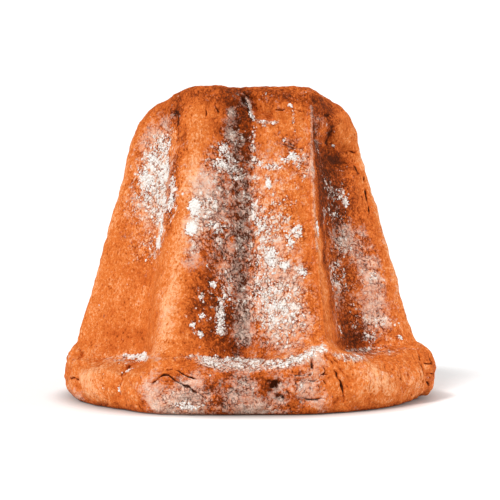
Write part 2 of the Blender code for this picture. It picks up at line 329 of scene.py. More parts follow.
# Tears and creases: depth and half width, then the way they run. Their rims stand up a little, at so
# many half widths from the middle, by this share of the depth.
TORN_RIMS = ((2.0, 0.25), (-2.2, 0.12))
TEARS = (
    # the folded front left of the lip
    (2.0, 0.5, ((-23.4, 17.2), (-21.9, 20.5), (-20.7, 21.6), (-19, 21.2), (-17.2, 18.7), (-15.3, 16.7),
                (-13.8, 14.6), (-12, 11.4), (-10.6, 9.3))),
    (1.7, 0.45, ((-20.1, 24.0), (-17.5, 24.0), (-15.5, 22.1), (-13.9, 20.1), (-12.6, 20.0))),
    (0.8, 0.45, ((-21, 18.8), (-18.5, 18.6), (-16, 18.0))),
    # the torn front and the knob beside it
    (1.6, 0.6, ((16.9, 31.5), (16.7, 28), (16.3, 24), (15.7, 22.0), (13.8, 21.2), (12, 21.6))),
    (1.2, 0.5, ((14.9, 19.4), (14.9, 18.4), (16.0, 18.2), (17.6, 19.0))),
    (1.4, 0.6, ((13.6, 9.4), (15.0, 8.5), (17.6, 8.3), (19.6, 9.2))),
    (0.8, 0.4, ((17.6, 17.3), (18.0, 14.5), (17.5, 12))),
    (1.4, 0.45, ((19.5, 25.0), (20.0, 22.6), (19.3, 20.4))),
    (1.2, 0.4, ((18.2, 21.5), (19.6, 21.9), (21.0, 21.0))),
    (1.4, 0.45, ((17.2, 17.8), (18.6, 18.4), (19.8, 17.8), (20.4, 16.6))),
    (0.7, 0.4, ((19.2, 12.5), (20.5, 13.4))),
    (0.8, 0.5, ((9.0, 20), (10.2, 17), (9.6, 13.5), (10.8, 9))),
    (0.7, 0.45, ((11.2, 18.5), (12.6, 15.5), (12.0, 12))),
    # the seam where the roll begins
    (1.6, 0.7, ((20.0, 33), (20.9, 29.5), (22.2, 26), (23.2, 21), (24.6, 15.6), (25.3, 10.2), (25.6, 6))),
    (0.9, 0.5, ((22.0, 31), (23.8, 25), (25.6, 20.5))),
    # the seam and the cracks on the left of the lip
    (1.0, 0.4, ((-40.2, 25.6), (-37.6, 23), (-36.2, 17.9), (-36.3, 12.5), (-36.5, 7))),
    (1.2, 0.6, ((-32.6, 12), (-32.2, 8))),
    (1.2, 0.5, ((-65.5, 13), (-60.5, 14.2), (-57.5, 13.6), (-54.5, 11.4), (-53, 9.6))),
    (1.2, 0.6, ((-61.5, 24.5), (-60.4, 22.6), (-59.6, 20))),
    # the roll's wrinkled end
    (1.5, 0.8, ((61.5, 31.5), (60.3, 29), (58.6, 24), (57.4, 17), (57.8, 11), (58.5, 7))),
    (1.2, 0.7, ((64.5, 31), (63.5, 25), (62.8, 19))),
    (1.6, 0.8, ((60.4, 13.5), (61.9, 11.3), (63.6, 9.4))),
    (1.3, 0.5, ((59.5, 24), (62.5, 22.5), (65.5, 23))),
    (1.3, 0.6, ((67.5, 30), (66.8, 24), (66.2, 18), (66.8, 12))),
    (1.1, 0.5, ((58.2, 30.5), (56.2, 25.5), (55.0, 19.5), (55.6, 13))),
    (1.2, 0.5, ((60.6, 17.5), (63.0, 16.6), (65.6, 17.6))),
    # stretch marks over the roll
    (0.40, 0.5, ((33, 28.6), (29.5, 22), (28.6, 15), (29.6, 9))),
    (0.45, 0.5, ((37, 29), (33.5, 22), (32.6, 15), (33.6, 8))),
    (0.40, 0.45, ((40, 28.6), (35.4, 22), (35.0, 14))),
    (0.50, 0.5, ((43, 28.6), (38.4, 22), (37.6, 14), (38.6, 8))),
    (0.40, 0.45, ((46, 28), (41.4, 21.5), (40.6, 13.5))),
    (0.50, 0.5, ((49, 28), (44.4, 21), (44.0, 13), (45.4, 7))),
    (0.40, 0.45, ((51, 27.6), (47.4, 20.5), (47.0, 13))),
    (0.50, 0.5, ((53.4, 27), (50.6, 20), (50.6, 12), (52, 7))),
    (0.35, 0.45, ((55.6, 26.4), (53.0, 19), (53.2, 12))),
    # the edge of the right-hand ridge and the pinched hollow
    (1.2, 0.8, ((64.5, 141), (63.5, 133), (62.2, 124), (61.8, 116), (61.6, 108))),
    (1.6, 1.2, ((46.2, 166.5), (47.4, 163), (48.2, 159), (48.2, 155.5))),
    (1.3, 0.9, ((58, 145.6), (60.4, 143), (61.2, 138.8), (59.5, 136.5))),
    (0.9, 0.6, ((57, 152.2), (61, 152.6), (64.5, 153.2))),
    (1.0, 0.7, ((40, 172.5), (42.4, 171.2), (45, 171.8))),
    # under the loose skin of the crown
    (2.6, 0.8, ((-4.6, 180.5), (-2.6, 177), (-1.0, 173.4), (0.3, 169.8), (1.6, 166.6))),
    # the crown and the shoulders
    (1.0, 0.6, ((-32.1, 178), (-31.1, 174), (-31.6, 171), (-33.6, 168.8))),
    (1.3, 0.8, ((-40.5, 172), (-36.5, 171), (-34.2, 168), (-33.8, 164), (-35.5, 160.5))),
    (0.8, 0.5, ((-58, 147), (-54.5, 149), (-51.5, 147.5), (-49.5, 144.5))),
    (0.9, 0.5, ((-20.5, 172), (-19.5, 168), (-20.5, 164))),
    (0.8, 0.45, ((-22.5, 166), (-19.5, 164.6), (-16.5, 165.5), (-14, 167))),
    (0.8, 0.45, ((-16.5, 175), (-15.8, 171), (-14.6, 168))),
    (0.7, 0.45, ((-15.6, 162), (-13.6, 160.4), (-13.9, 157))),
    (0.9, 0.5, ((12.5, 170), (14.5, 171.4), (17, 170.6), (18.6, 171.8))),
    (1.0, 0.45, ((19.6, 173.4), (22.4, 171.8), (26.4, 170.0))),
    (0.8, 0.45, ((18.6, 152.4), (20.6, 150.0), (23.0, 148.4))),
    (0.9, 0.5, ((16.5, 150.5), (20, 148.6), (23.4, 147.6), (25.2, 150))),
    (1.2, 0.8, ((30.6, 178), (32.2, 176.6), (34, 178.4))),
    # the walls' feet
    (0.9, 0.7, ((-16.5, 46), (-15.0, 41.5), (-13.6, 38))),
    (0.8, 0.6, ((-20, 85), (-19.5, 80), (-19.8, 76))),
)

# Torn holes: turn, height, half sizes round and up, how far they are raised, and how square.
HOLES = (
    (5.0, 17.8, 1.7, 1.2, -2.2, 2),
    (6.6, 15.6, 1.5, 2.2, -3.2, 4),
    (8.0, 17.2, 1.0, 1.2, -2.0, 2),
    (6.0, 12.2, 1.3, 1.2, -1.7, 2),
    (7.6, 10.6, 1.2, 1.0, -1.8, 2),
    (8.3, 8.7, 1.2, 1.6, -2.8, 2),
    (9.2, 7.2, 0.9, 0.9, -1.6, 2),
)

# Smooth hollows and small lumps: the same, but always round.
DENTS = (
    (4.0, 14.8, 1.5, 2.6, 0.8), (7.7, 12.6, 1.4, 1.3, 0.9), (9.6, 12.0, 1.4, 3.6, 0.8),
    (5.9, 9.2, 1.5, 1.8, 0.8), (3.6, 20.2, 2.0, 1.0, 0.5),
    # the left shoulder
    (-42, 167, 5.0, 6.0, 1.0), (-31, 154, 4.5, 6.0, -1.0), (-24, 160, 5.0, 8.0, 0.9),
    (-12.5, 158, 4.0, 6.5, -0.8), (-18, 176, 6.0, 3.0, 0.6),
    # the right-hand valley
    (54, 146.5, 6.0, 4.0, -1.4), (33, 158, 3.4, 6.0, -1.4), (41, 163, 4.0, 7.0, 1.4),
    (52, 161, 2.6, 8.0, 1.2), (43, 171.5, 2.8, 2.0, -1.2), (33.5, 178, 2.4, 2.6, -1.8),
    (36, 147, 3.2, 4.0, 0.9), (60, 160, 4.0, 7.0, 0.6), (55, 128, 6.0, 6.0, 0.8),
    (46, 118, 5.0, 7.0, 0.7), (57, 108, 5.0, 6.0, -0.7), (50, 98, 7.0, 7.0, 0.9),
    (54, 82, 5.0, 6.0, -0.8), (58, 70, 5.0, 7.0, 0.7), (49, 62, 5.0, 8.0, -0.6),
    # under the flap
    (9.5, 154, 5.0, 7.5, 1.9), (17, 156, 4, 5, 0.8), (13, 144, 9, 2.2, -1.1),
    (20.6, 150.4, 2.6, 3.0, -1.1), (16, 165.5, 4, 1.6, -0.8), (1.6, 153, 2.6, 8, -0.8),
    (-2.2, 174.5, 1.5, 5.0, -1.6), (-7.5, 174.5, 3.0, 2.6, -1.2),
    # lumps down the middle valley
    (-4.5, 163, 4.0, 5.0, 1.8), (-9, 167, 2.6, 3.0, 1.0), (-1.5, 156, 2.6, 3.2, 1.0),
    (-8, 154, 3.2, 4.4, 1.5), (-14, 146, 3.4, 5.0, 1.1), (-9.5, 145, 2.2, 3.4, -0.8),
    (-4.0, 145, 3.0, 5, 1.1), (-6.5, 138, 2.2, 5, -0.6), (-11.5, 134, 2.6, 5, 1.2),
    (-3, 131, 2.6, 5, 0.8), (-15, 124, 3.0, 5, 0.9), (-8, 122, 2.8, 6, 1.0),
    (-11.5, 113, 2.0, 6, -0.5), (-3.5, 114, 2.6, 6, 0.7), (-14, 104, 3.0, 5, 0.8),
    (-7.5, 100, 3.0, 6, 0.8), (-10.5, 90, 2.6, 6, -0.7), (-6, 82, 2.6, 6, 0.6),
    # the lip
    (17.6, 15, 3.0, 4.2, 0.9), (18.6, 27, 2.4, 3.4, 0.9), (13.6, 27.5, 3.0, 2.6, 0.8),
    (-24, 27.5, 4.0, 2.2, 0.8), (-17, 14, 4.5, 3.2, 0.8), (-27, 13, 4.5, 4.2, 0.6),
    (-67, 30, 2.2, 3.0, 1.2), (66, 27, 3.0, 4.0, 0.9), (61, 20, 2.4, 3.0, 0.8),
    (64.5, 15, 2.4, 2.6, 0.8),
)

# Lumps over the whole skin: their size, how far they stand on the walls, and on the rougher lip.
SKIN_LUMPS = ((21, 0.6, 1.0), (9.5, 0.6, 1.3), (4.6, 0.50, 0.9), (2.6, 0.34, 0.55))
VALLEY_LUMPS = ((7.5, 1.0), (3.6, 0.9))  # the extra ones in the two valleys that show most
LUMPY_VALLEYS = ((-6, 132, 15, 52, 1.0), (48, 120, 17, 60, 0.7))  # turn, height, half sizes, share
SKIN_SUNK = 0.25  # the whole skin lies this much inside the solid, so that its lumps don't pass it
LIP_TOP = 34
SHOULDER = 178
DIMPLES = 260
DIMPLES_ON_LIP = 0.3  # the share of them that lies on the lip alone
DIMPLE_SEED = 11
FINER_WITHIN = (1.8, 0.5)  # the mesh is cut finer twice, first this far beside tears and folds
CRUST_TRIANGLES = 192000


def merged_copy(node, name):
    """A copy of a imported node's mesh, its loose triangles merged into quads."""
    piece = bpy.data.objects.new(name, node.data.copy())
    piece.data.materials.clear()
    bpy.context.scene.collection.objects.link(piece)
    bpy.ops.object.select_all(action="DESELECT")
    piece.select_set(True)
    bpy.context.view_layer.objects.active = piece
    bpy.ops.object.mode_set(mode="EDIT")
    bpy.ops.mesh.select_all(action="SELECT")
    bpy.ops.mesh.remove_doubles(threshold=2e-5)
    bpy.ops.mesh.customdata_custom_splitnormals_clear()
    bpy.ops.mesh.tris_convert_to_quads(face_threshold=math.radians(60), shape_threshold=math.radians(80))
    bpy.ops.object.mode_set(mode="OBJECT")
    return piece


def select_faces(piece, wanted):
    """In edit mode, only the faces for which wanted(face) holds are selected."""
    bpy.ops.mesh.select_mode(type="FACE")
    bpy.ops.mesh.select_all(action="DESELECT")
    bpy.ops.object.mode_set(mode="OBJECT")
    for face in piece.data.polygons:
        face.select = wanted(face)
    bpy.ops.object.mode_set(mode="EDIT")


def remake_base(piece):
    """The flat base, whose faces are long and thin, is made again as rings round its middle."""
    bpy.ops.object.mode_set(mode="EDIT")
    select_faces(piece, lambda face: face.normal.z < -0.99 and face.center.z < 0.1 * MM)
    bpy.ops.mesh.delete(type="ONLY_FACE")
    bpy.ops.mesh.select_mode(type="EDGE")
    bpy.ops.mesh.select_all(action="DESELECT")
    bpy.ops.mesh.select_non_manifold(extend=False, use_wire=False, use_boundary=True)
    for shrink in (0.9, 0.86, 0.82, 0.75, 0.66, 0.5):
        bpy.ops.mesh.extrude_edges_move()
        bpy.ops.transform.resize(value=(shrink, shrink, 1), center_override=(0, 0, 0))
    bpy.ops.mesh.edge_face_add()
    bpy.ops.mesh.poke()
    bpy.ops.mesh.select_all(action="SELECT")
    bpy.ops.mesh.delete_loose(use_verts=True, use_edges=True, use_faces=False)
    bpy.ops.mesh.normals_make_consistent(inside=False)
    bpy.ops.object.mode_set(mode="OBJECT")


def subdivided(piece, levels):
    """Smooths the piece, with every face cut in four so many times."""
    modifier = piece.modifiers.new("smooth", "SUBSURF")
    modifier.levels = levels
    modifier.render_levels = levels
    bpy.ops.object.modifier_apply(modifier=modifier.name)


def refine_near_tears(piece, reach):
    """The faces close to folds, tears and torn holes are cut in four."""
    skin = Skin(piece.data)
    near = np.zeros(len(skin.z), dtype=bool)
    for _, width, way in TEARS:
        near |= np.abs(skin.beside(way)[0]) < width + reach
    for fold in FOLDS:
        near |= np.abs(skin.beside(fold.way)[0] - fold.step / 2) < fold.step / 2 + reach * 0.6
    for turn, height, girth, tall, *_ in HOLES:
        near |= skin.patch(turn, height, girth + reach, tall + reach) > 0.35
    near &= skin.z > 1 * MM
    bpy.ops.object.mode_set(mode="EDIT")
    select_faces(piece, lambda face: all(near[v] for v in face.vertices))
    bpy.ops.mesh.subdivide(number_cuts=1, smoothness=0.6)
    bpy.ops.object.mode_set(mode="OBJECT")


def folded(skin):
    """How far the folds move each point outwards, in millimetres."""
    relief = np.zeros(len(skin.z))
    wandering = skin.wandering(9, 0.7, seed=1.0)
    for fold in FOLDS:
        beyond, passed = wandering.beside(fold.way)
        starts, stops = fold.ends
        strength = eased(passed, 0, starts) * (1 - eased(passed, 1 - stops, 1))
        raised = fold.lift * np.exp(-((beyond / fold.width) ** 2))
        over = eased(beyond, 0, fold.step)
        low = fold.lift * (1 - over) - fold.drop * over * np.exp(-((beyond / fold.reach) ** 2))
        relief += np.where(beyond < 0, raised, low) * strength
    return relief


def creased(skin):
    """How far the valleys' creases move each point outwards, in millimetres."""
    relief = np.zeros(len(skin.z))
    wandering = skin.wandering(16, 2.2, seed=31.0)
    for depth, width, way in VALLEY_WAYS:
        beyond, passed = wandering.beside(way)
        strength = eased(passed, 0, 0.12) * (1 - eased(passed, 0.9, 1))
        relief -= depth * strength * np.exp(-np.abs(beyond) / width)
    return relief


def torn(skin):
    """How far the tears move each point outwards, in millimetres."""
    relief = np.zeros(len(skin.z))
    wandering = skin.wandering(3.6, 1.0, seed=4.0)
    uneven = np.clip(0.75 + 1.1 * skin.lumps(4.2, seed=6.0), 0.15, 1.3)
    for depth, width, way in TEARS:
        beyond, passed = wandering.beside(way)
        strength = uneven * np.sqrt(np.clip(np.sin(np.pi * np.clip(passed, 0.04, 0.96)), 0, 1))
        apart = beyond / (width * (0.6 + 0.5 * strength))
        relief -= depth * strength * np.exp(-(apart**2))
        for away, share in TORN_RIMS:
            relief += share * depth * np.exp(-((apart + away) ** 2)) * strength
    return relief


def dented(skin):
    """How far the holes and dents move each point outwards, in millimetres."""
    relief = np.zeros(len(skin.z))
    wandering = skin.wandering(3.6, 1.0, seed=4.0)
    for *place, raised, edge in HOLES:
        relief += raised * wandering.patch(*place, edge)
    for *place, raised in DENTS:
        relief += raised * skin.patch(*place)
    return relief


def dimples(skin):
    """Small pits where bubbles broke under the skin, in millimetres."""
    draw = random.Random(DIMPLE_SEED)
    depth = np.zeros(len(skin.z))
    for _ in range(DIMPLES):
        turn = draw.uniform(-180, 180)
        height = draw.uniform(4, SHOULDER if draw.random() > DIMPLES_ON_LIP else LIP_TOP)
        size = draw.uniform(0.9, 2.3)
        deep = size * draw.uniform(0.16, 0.34)
        near = (np.abs(skin.z - height * MM) < 8 * MM) & (np.abs(skin.around(turn)) < 8 * MM)
        if near.any():
            apart = skin.around(turn)[near] / (size * MM)
            above = (skin.z[near] - height * MM) / (size * draw.uniform(0.7, 1.5) * MM)
            depth[near] += deep * np.exp(-(apart**2) - above**2)
    return depth


def shape_skin(piece):
    """Moves the crust's points and stores how deep each place lies in hollows and splits, where its
    material paints shade.
    """
    skin = Skin(piece.data)
    on_lip = 1 - eased(skin.z, (LIP_TOP - 8) * MM, LIP_TOP * MM)
    small = np.zeros(len(skin.z))
    for k, (size, wall, lip) in enumerate(SKIN_LUMPS):
        small += skin.lumps(size, seed=3.1 * k) * (wall + (lip - wall) * on_lip)
    in_valley = sum(share * skin.patch(*place, 4) for *place, share in LUMPY_VALLEYS) * (1 - 0.8 * on_lip)
    for k, (size, valley) in enumerate(VALLEY_LUMPS):
        small += skin.lumps(size, seed=2.3 + k) * valley * in_valley
    tears = torn(skin)
    dents = dented(skin)
    pitted = dimples(skin)
    relief = folded(skin) + creased(skin) + small + tears + dents - pitted - SKIN_SUNK
    relief *= eased(skin.z, 0.2 * MM, 2.5 * MM) * MM
    points = skin.points + skin.normals * relief[:, None]
    points = np.clip(points, np.array(cad_low), np.array(cad_high))
    piece.data.vertices.foreach_set("co", points.ravel())
    # The hollows, dimples, tears and pits: the crust's material paints shade there, darkest in the
    # splits.
    hollow_shade = -tears - np.minimum(dents, 0) * 0.35 - np.minimum(small, 0) * 0.6 + pitted * 1.3
    store(piece, "hollow_shade", np.clip(hollow_shade / 1.2, 0, 1))
    pit = np.maximum(-dents - 1.3, 0) * (skin.z < 30 * MM)
    store(piece, "split_shade", np.clip((-tears - 0.35) / 0.9 + pit, 0, 1))
    piece.data.update()
    store(piece, "upward", np.clip(Skin(piece.data).normals[:, 2] - skin.normals[:, 2], -0.5, 0.5))


def store(piece, name, values):
    """A number for each point of a piece, which its material reads by name."""
    old = piece.data.attributes.get(name)
    if old:
        piece.data.attributes.remove(old)
    made = piece.data.attributes.new(name, "FLOAT", "POINT")
    made.data.foreach_set("value", np.ascontiguousarray(values, dtype=np.float32))


def stored(piece, name):
    """The numbers that a piece's points carry under this name."""
    values = np.empty(len(piece.data.vertices), dtype=np.float32)
    piece.data.attributes[name].data.foreach_get("value", values)
    return values


def thin_behind(piece, wanted):
    """The back of the cake, which has no fine tears, gets a coarser mesh."""
    group = piece.vertex_groups.new(name="behind")
    skin = Skin(piece.data)
    weight = eased(np.abs(skin.turn), FRONT + 14, FRONT + 30)
    weight = np.maximum(weight, eased(-skin.z, -0.5 * MM, 0))
    for k in np.flatnonzero(weight > 0.02):
        group.add([int(k)], float(weight[k]), "REPLACE")
    modifier = piece.modifiers.new("thin", "DECIMATE")
    modifier.ratio = min(1.0, wanted / triangles(piece))
    modifier.vertex_group = group.name
    bpy.ops.object.modifier_apply(modifier=modifier.name)
    piece.vertex_groups.clear()


def triangles(piece):
    return sum(len(face.vertices) - 2 for face in piece.data.polygons)


# ------------------------ where the sugar lies

RIDGE_TURNS = (-68, -24, 26.5, 68, 112.5, 156.5, -157.5, -112)
HIDDEN_VALLEYS = (-90, 90, 135, 180, -135)
HIDDEN_PATCHES = 7  # patches of sugar in each of those
SUGAR_SEED = 5

# Patches of sugar: turn, height, half sizes round and up, amount (below 0 is bare crust).
SUGAR = (
    # the left-hand valley, thick in its upper half
    (-48, 128, 17, 30, 0.42), (-43, 137, 6, 8, 0.36), (-40, 113, 7, 9, 0.36),
    (-32.5, 124, 4, 20, 0.34), (-39, 98, 6, 9, 0.36), (-40, 91, 3.4, 2.6, 0.5),
    (-47, 89, 9, 8, 0.3), (-56, 138, 9, 14, 0.26), (-45, 155, 12, 9, 0.36), (-29, 114, 5, 12, 0.36),
    # the rounded ridge beside it
    (-21.6, 114, 1.9, 3.6, 0.95), (-21.2, 100, 2.1, 3.0, 0.95), (-20.5, 107, 4.5, 12, 0.4),
    (-20.0, 88, 3.6, 7, 0.3), (-23, 126, 2.5, 8, 0.18),
    # the shaded face of the middle valley
    (-16, 118, 5.5, 15, 0.35), (-12, 140, 8, 9, 0.36), (-7, 157, 4, 9, 0.34),
    (-13, 149, 4, 3, 0.38), (-14, 90, 9, 60, 0.04), (-7, 125, 7, 22, 0.22), (-13, 100, 5, 6, 0.4),
    (-9, 86, 5.5, 18, 0.21), (-2.5, 95, 4.5, 50, 0.12), (-10, 54, 2.4, 8, 0.5),
    (-14, 56, 8, 20, 0.16),
    # the ledge at the left
    (-40.5, 28.4, 3.6, 1.8, 0.5), (-47, 27.6, 6, 1.2, 0.3),
    # the foot of the shaded face
    (-10, 44.5, 4.2, 4, 0.52), (-7, 66, 3.4, 12, 0.27), (-16, 62, 1.2, 1.6, 0.6),
    (-17.5, 56, 1.1, 1.5, 0.55), (-15.5, 51.5, 1.2, 1.6, 0.55), (-17.8, 47, 1.2, 1.3, 0.6),
    (-15.2, 42, 1.4, 1.4, 0.55), (-13, 69, 1.2, 2.2, 0.55),
    # under the flap
    (2.6, 158, 1.6, 6.5, 0.42), (8.5, 161.3, 3.4, 1.6, 0.46), (3.4, 145, 2.0, 6, 0.36),
    (6.6, 140.2, 2.0, 2.4, 0.5), (9.6, 137.6, 2.8, 1.9, 0.52), (13.2, 137.0, 2.4, 1.9, 0.5),
    (16.6, 140.2, 2.0, 2.2, 0.5), (19.4, 143.2, 2.0, 2.2, 0.44), (17.4, 153.6, 0.9, 3.2, 0.5),
    (21, 174, 2.4, 1.2, 0.55), (22.4, 165, 0.8, 8, 0.5),
    # the lit face
    (22.4, 140, 5.0, 9, 0.42), (9.6, 128, 1.3, 3.6, 0.9), (11, 120, 14, 44, 0.09),
    (3, 124, 3.4, 18, 0.24), (6, 108, 5, 12, 0.2), (15, 112, 7, 13, 0.24), (9.0, 83, 2.4, 5.0, 0.6),
    (13.3, 79.5, 2.2, 3.2, 0.6), (18.4, 76, 2.4, 2.4, 0.62), (15.5, 92, 1.6, 3.0, 0.7),
    (18.5, 98, 3.4, 5.0, 0.48), (8, 94, 10, 16, 0.24), (11, 56, 16, 21, 0.53), (4, 78, 6, 25, 0.2),
    # the right-hand valley
    (34, 147.5, 3.0, 4.0, 0.34), (33, 158, 2.4, 4.0, 0.26), (52.5, 168, 1.6, 1.6, 0.4),
    (52, 155.5, 1.2, 2.2, 0.4), (45, 124, 10, 13, 0.26), (46, 100, 16, 60, 0.08),
    (52, 123, 5, 8, 0.16), (51, 119, 1.6, 3.0, 0.35), (47, 110, 6, 4, 0.3), (38, 129, 4, 6, 0.2),
    (33, 109, 2.6, 3.0, 0.3), (25.2, 100, 1.0, 6.0, 0.9), (48, 94, 10, 8, 0.26),
    (33, 96, 4, 12, 0.22), (40, 76, 10, 10, 0.34), (44, 68, 8, 6, 0.22), (35, 60, 4, 14, 0.22),
    (58, 76, 6, 14, 0.3), (57, 47, 9, 8, 0.36), (47, 52, 8, 8, 0.24), (52, 38.5, 3.0, 2.6, 0.5),
    (38, 42, 3.0, 4.0, 0.34), (62, 38, 2.4, 2.0, 0.5),
    # the lip
    (-30.5, 16, 2.6, 2.4, 0.32), (-41, 11, 4, 4, 0.24), (-36.6, 21.5, 1.0, 4, 0.45),
    (-36.5, 11.5, 1.2, 2.4, 0.6), (-18, 11, 9, 5, 0.28), (-15, 5, 15, 4, 0.4), (-3, 15, 6, 5, 0.12),
    (14.5, 15, 5, 6, 0.18), (10, 4, 12, 4, 0.14),
)
SUGAR_EVERYWHERE = 0.02
SUGAR_ON_LEDGE = 0.50
SUGAR_ON_CROWN = (0.25, 0.4)  # as much on average, and so much more or less in lumps

# Sugar on the ledge above the lip: by turn, the heights of its upper and lower edge, and how thick.
LEDGE = (
    (-74, 28.0, 24.0, 0.35), (-61, 27.0, 24.5, 0.15), (-57, 27.0, 25.0, 0.45),
    (-50, 28.8, 26.0, 0.8), (-44, 29.2, 25.8, 1.0), (-41, 30.8, 25.5, 1.0), (-38, 29.4, 25.8, 1.0),
    (-33, 29.4, 26.6, 0.75), (-27, 30.0, 28.0, 0.1), (-19, 30.8, 28.8, 0.25),
    (-15.5, 31.4, 28.2, 0.8), (-12.5, 30.4, 26.4, 0.95), (-9, 28.8, 24.4, 1.0),
    (-3.5, 28.4, 24.0, 1.0), (3, 28.2, 23.6, 1.0), (9.5, 28.8, 24.6, 1.0), (14.6, 31.6, 28.0, 0.95),
    (18.0, 35.6, 31.4, 0.85), (21, 36.8, 33.6, 0.55), (24, 31.6, 28.4, 0.65), (30, 31.0, 27.6, 0.8),
    (38, 31.6, 28.0, 0.55), (47, 32.4, 28.8, 0.55), (52, 33.0, 29.6, 0.6), (57, 34.0, 31.0, 0.3),
    (64, 35.0, 31.0, 0.1), (75, 32.0, 26.0, 0.3),
)
HIDDEN_LEDGE = (31, 25, 0.55)  # the same where it is out of sight
HIDDEN_LEDGE_SWAY = 0.55

# Thin film of sugar that the crust has soaked up, greyish and dull.
FILM = (
    # the left-hand valley
    (-46, 126, 20, 34, 0.9), (-46, 164, 8, 8, 0.55), (-56, 156, 8, 14, 0.45),
    # the crown and the middle valley
    (-1.5, 160, 2.4, 9, -0.45), (-9, 170, 3, 5, 0.28), (-14, 181, 26, 5, 0.1),
    (20, 180, 15, 5, 0.12), (-2, 44, 5, 14, 0.45), (-20, 110, 5.5, 26, 0.82),
    (-27, 52, 7, 22, 0.33), (-20, 86, 5, 10, 0.4), (-13, 125, 10, 30, 0.46), (-8, 159, 5, 11, 0.62),
    (-16, 116, 6, 18, 0.34), (-10, 84, 7, 22, 0.24), (-4, 105, 6, 60, 0.36), (-8, 75, 7, 24, 0.3),
    # the lit face
    (11, 56, 17, 28, 0.95), (10, 98, 13, 26, 0.54), (13, 142, 13, 20, 0.4), (3, 120, 4, 30, 0.25),
    (24, 139, 5, 11, 0.45), (12, 176, 12, 6, 0.14),
    # the right-hand valley
    (49, 97, 11, 10, 0.82), (57, 76, 7, 17, 0.86), (56, 49, 10, 10, 0.74), (40, 70, 9, 18, 0.56),
    (52, 62, 12, 12, 0.26), (45, 122, 12, 14, 0.34), (33, 48, 6, 10, 0.35), (36, 150, 8, 12, 0.34),
    (36, 166, 6, 4, 0.4), (44, 162, 4, 9, 0.2), (66, 100, 4, 60, 0.25),
    # the lip
    (-18, 6, 15, 8, 1.2), (-24, 13, 7, 10, 0.62), (-14, 17, 9, 8, 0.7), (2, 5, 17, 5, 0.85),
    (-2, 15, 9, 8, 0.7), (9, 14, 6, 8, 0.4), (14.5, 15, 6, 8, 0.72), (19, 9, 5, 8, 0.56),
    (18, 28, 5, 6, 0.5), (-48, 14, 16, 10, 0.14), (-62, 4, 18, 5, 0.5), (34, 20, 13, 10, 0.24),
    (50, 17, 12, 12, 0.26), (26, 36, 2, 4, 0.2), (-26, 30, 7, 4, 0.3),
)
FILM_EVERYWHERE = 0.03
FILM_ON_LEDGE = 0.85
FILM_IN_HIDDEN_VALLEYS = 0.4
FILM_AT_HIDDEN_FOOT = 0.3

# Edges of skin that show pale: how wide, how much sugar soaked in, how much lies on them, and from
# which height to which.
PaleEdge = namedtuple("PaleEdge", "way width film sugar lowest highest")
PALE_EDGES = (
    PaleEdge(RIDGE_WAY, 1.6, 0.60, 0.10, 84, SHOULDER),
    PaleEdge(FLAP_WAY, 0.85, 1.1, 0.38, 158, 181),
)


def patched(skin, everywhere, patches):
    """An amount for each point: the same everywhere but for the patches."""
    amount = np.full(len(skin.z), everywhere)
    for *place, much in patches:
        amount += much * skin.patch(*place)
    return amount


def sugar_amount(skin):
    """How much sugar lies at each point, from 0 to about 1."""
    drifting = skin.wandering(8, 2.6, seed=7.0)
    amount = np.full(len(skin.z), SUGAR_EVERYWHERE)
    for turn, height, girth, tall, much in SUGAR:
        amount += much * (drifting if girth > 3 else skin).patch(turn, height, girth, tall)
    draw = random.Random(SUGAR_SEED)
    for turn in HIDDEN_VALLEYS:
        for _ in range(HIDDEN_PATCHES):
            there = turn + draw.uniform(-13, 13)
            height, girth = draw.uniform(40, 165), draw.uniform(4, 12)
            amount += draw.uniform(0.15, 0.5) * drifting.patch(there, height, girth, draw.uniform(6, 26))
    for edge in PALE_EDGES:
        amount += edge.sugar * along_edge(skin, edge)
    crown = eased(skin.z, 184 * MM, 188 * MM) * eased(skin.normals[:, 2], 0.8, 0.97)
    amount += crown * (SUGAR_ON_CROWN[0] + SUGAR_ON_CROWN[1] * skin.lumps(38, seed=9.0))
    amount += SUGAR_ON_LEDGE * on_ledge(skin) + skin.upward * amount * 0.9
    amount *= eased(skin.z, 0, 1.5 * MM)
    return np.clip(amount, 0, 1.2)


def on_ledge(skin):
    """How thick the sugar lies along the ledge, from 0 to 1."""
    turns, tops, bottoms, amounts = (np.array(row) for row in zip(*LEDGE))
    top, bottom, much = (np.interp(skin.turn, turns, row) for row in (tops, bottoms, amounts))
    hidden = unseen(skin)
    sway = HIDDEN_LEDGE_SWAY * skin.lumps(30, seed=12.0)
    top += (HIDDEN_LEDGE[0] - top) * hidden
    bottom += (HIDDEN_LEDGE[1] - bottom) * hidden
    much += (HIDDEN_LEDGE[2] + sway - much) * hidden
    uneven = skin.lumps(5, seed=14.0) * 0.7 + skin.lumps(2.2, seed=15.0) * 0.6
    height = skin.z / MM + uneven
    fade = np.clip((top - bottom) * 0.55, 1.2, 2.6)
    inside = eased(height, bottom - fade, bottom + fade * 0.6) * (1 - eased(height, top - 0.7, top + 0.7))
    return np.clip(much, 0, 1) * inside


def along_edge(skin, edge):
    """1 on the middle of a pale edge, falling to 0 beside it and past its ends."""
    begun = eased(skin.z, edge.lowest * MM, (edge.lowest + 6) * MM)
    ended = eased(skin.z, (edge.highest - 6) * MM, edge.highest * MM)
    apart = (skin.beside(edge.way)[0] + edge.width) / edge.width
    return np.exp(-(apart**2)) * begun * (1 - ended)


def film_amount(skin):
    """How much of the sugar has soaked in."""
    drifting = skin.wandering(11, 3.5, seed=17.0)
    amount = patched(drifting, FILM_EVERYWHERE, FILM)
    for turn in HIDDEN_VALLEYS:
        amount += FILM_IN_HIDDEN_VALLEYS * drifting.patch(turn, 90, 10, 60)
    amount += FILM_AT_HIDDEN_FOOT * unseen(skin) * (1 - eased(skin.z, 4 * MM, 16 * MM))
    amount += FILM_ON_LEDGE * on_ledge(skin)
    for edge in PALE_EDGES:
        amount += edge.film * along_edge(skin, edge)
    amount += np.maximum(skin.upward, 0) * (0.15 + amount)
    return np.clip(amount, 0, 1)


# ------------------------ how dark the crust baked

